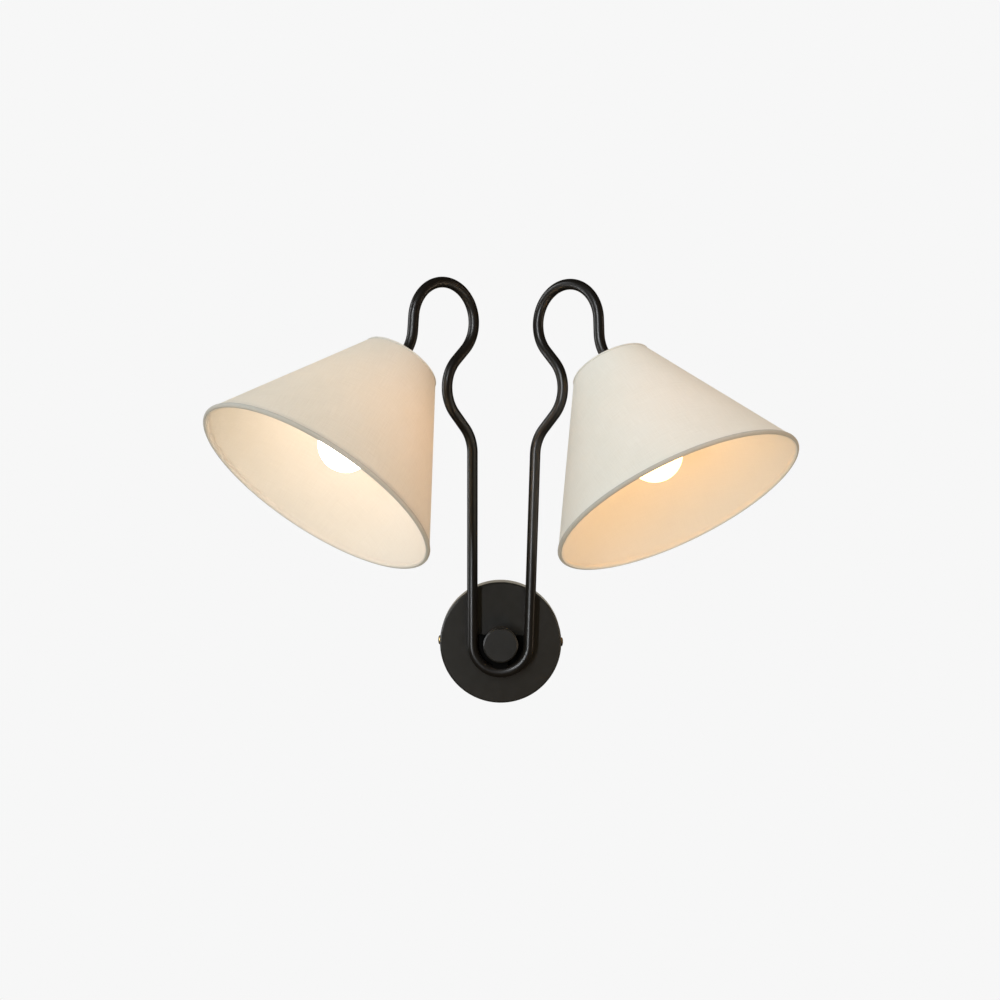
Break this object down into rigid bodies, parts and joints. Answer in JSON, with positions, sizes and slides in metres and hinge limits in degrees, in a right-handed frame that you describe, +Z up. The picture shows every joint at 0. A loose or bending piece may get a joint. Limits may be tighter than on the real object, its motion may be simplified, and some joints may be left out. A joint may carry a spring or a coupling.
{
  "type": "double arm wall sconce",
  "caption": "Wall light with a round canopy, a U-shaped bent tube whose legs rise into hooked arms, and a tilting cone shade with globe bulb below each hook.",
  "frame": {"origin": "middle of the crossbar's back face on the wall plane, behind the hub", "axes": "+X to the viewer's right along the wall, +Y into the wall, +Z up"},
  "size_m": [0.5477, 0.2647, 0.422],
  "materials": {
    "canopy_black": "satin black, slightly textured",
    "tube_black": "satin black",
    "hub_black": "satin black",
    "zinc_steel": "zinc plated",
    "brass": "polished brass",
    "ground_green": "green earthing screw",
    "fibre": "grey fibre",
    "lead_sheath": "black lead sheath",
    "connector_plastic": "orange wire connector",
    "holder_plastic": "white moulded plastic",
    "ceramic": "white glazed ceramic",
    "bulb_glass": "opal white",
    "shade_wire": "white coated wire",
    "shade_rim": "rolled linen edge",
    "shade_linen": "fine off-white linen on a stiff lining"
  },
  "bodies": {
    "canopy": {"canopy_pan": "canopy_black", "wall_crossbar": "zinc_steel", "ground_screw": "ground_green", "side_screws": "brass", "hub_nipple": "zinc_steel", "nipple_nut": "zinc_steel", "lock_washer": "zinc_steel", "friction_washer": "fibre", "splice_lead": "lead_sheath", "wire_connectors": "connector_plastic"},
    "arms": {"arm_saddle": "hub_black", "base_tube": "tube_black", "left_arm_tube": "tube_black", "right_arm_tube": "tube_black", "left_arm_lead": "lead_sheath", "right_arm_lead": "lead_sheath", "hub_lead": "lead_sheath", "spring_washer": "zinc_steel", "left_end_bush": "brass", "right_end_bush": "brass"},
    "knob": {"clamp_knob": "hub_black"},
    "left_yoke": {"left_swivel_yoke": "tube_black", "left_pivot_screw": "tube_black", "left_pivot_nut": "tube_black"},
    "left_head": {"left_swivel_tongue": "tube_black", "left_lampholder_cap": "holder_plastic", "left_lampholder_body": "holder_plastic", "left_contact_carrier": "ceramic", "left_screw_shell": "brass", "left_centre_contact": "brass", "left_shade_ring_nut": "holder_plastic", "left_bulb_base": "zinc_steel", "left_bulb_globe": "bulb_glass", "left_shade_spider": "shade_wire", "left_shade_bottom_ring": "shade_rim", "left_shade_cloth": "shade_linen"},
    "right_yoke": {"right_swivel_yoke": "tube_black", "right_pivot_screw": "tube_black", "right_pivot_nut": "tube_black"},
    "right_head": {"right_swivel_tongue": "tube_black", "right_lampholder_cap": "holder_plastic", "right_lampholder_body": "holder_plastic", "right_contact_carrier": "ceramic", "right_screw_shell": "brass", "right_centre_contact": "brass", "right_shade_ring_nut": "holder_plastic", "right_bulb_base": "zinc_steel", "right_bulb_globe": "bulb_glass", "right_shade_spider": "shade_wire", "right_shade_bottom_ring": "shade_rim", "right_shade_cloth": "shade_linen"}
  },
  "joints": [
    {"name": "arm_level", "type": "hinge", "parent": "canopy", "child": "arms", "pos_m": [0, -0.034, 0], "axis": [0, -1, 0], "range_deg": [-10, 10]},
    {"name": "knob_turn", "type": "hinge", "parent": "canopy", "child": "knob", "pos_m": [0, -0.042, 0], "axis": [0, -1, 0], "range_deg": [0, 360]},
    {"name": "left_head_swivel", "type": "hinge", "parent": "arms", "child": "left_yoke", "pos_m": [-0.10348, -0.09577, 0.2679], "axis": [-0.3972, -0.354, -0.8467], "range_deg": [-30, 30]},
    {"name": "left_head_tilt", "type": "hinge", "parent": "left_yoke", "child": "left_head", "pos_m": [-0.10348, -0.09577, 0.2679], "axis": [-0.6534, 0.757, -0.0099], "range_deg": [-15, 20]},
    {"name": "right_head_swivel", "type": "hinge", "parent": "arms", "child": "right_yoke", "pos_m": [0.10348, -0.09577, 0.2679], "axis": [0.3972, -0.354, -0.8467], "range_deg": [-30, 30]},
    {"name": "right_head_tilt", "type": "hinge", "parent": "right_yoke", "child": "right_head", "pos_m": [0.10348, -0.09577, 0.2679], "axis": [-0.9168, -0.195, -0.3486], "range_deg": [-10.7, 20]}
  ]
}
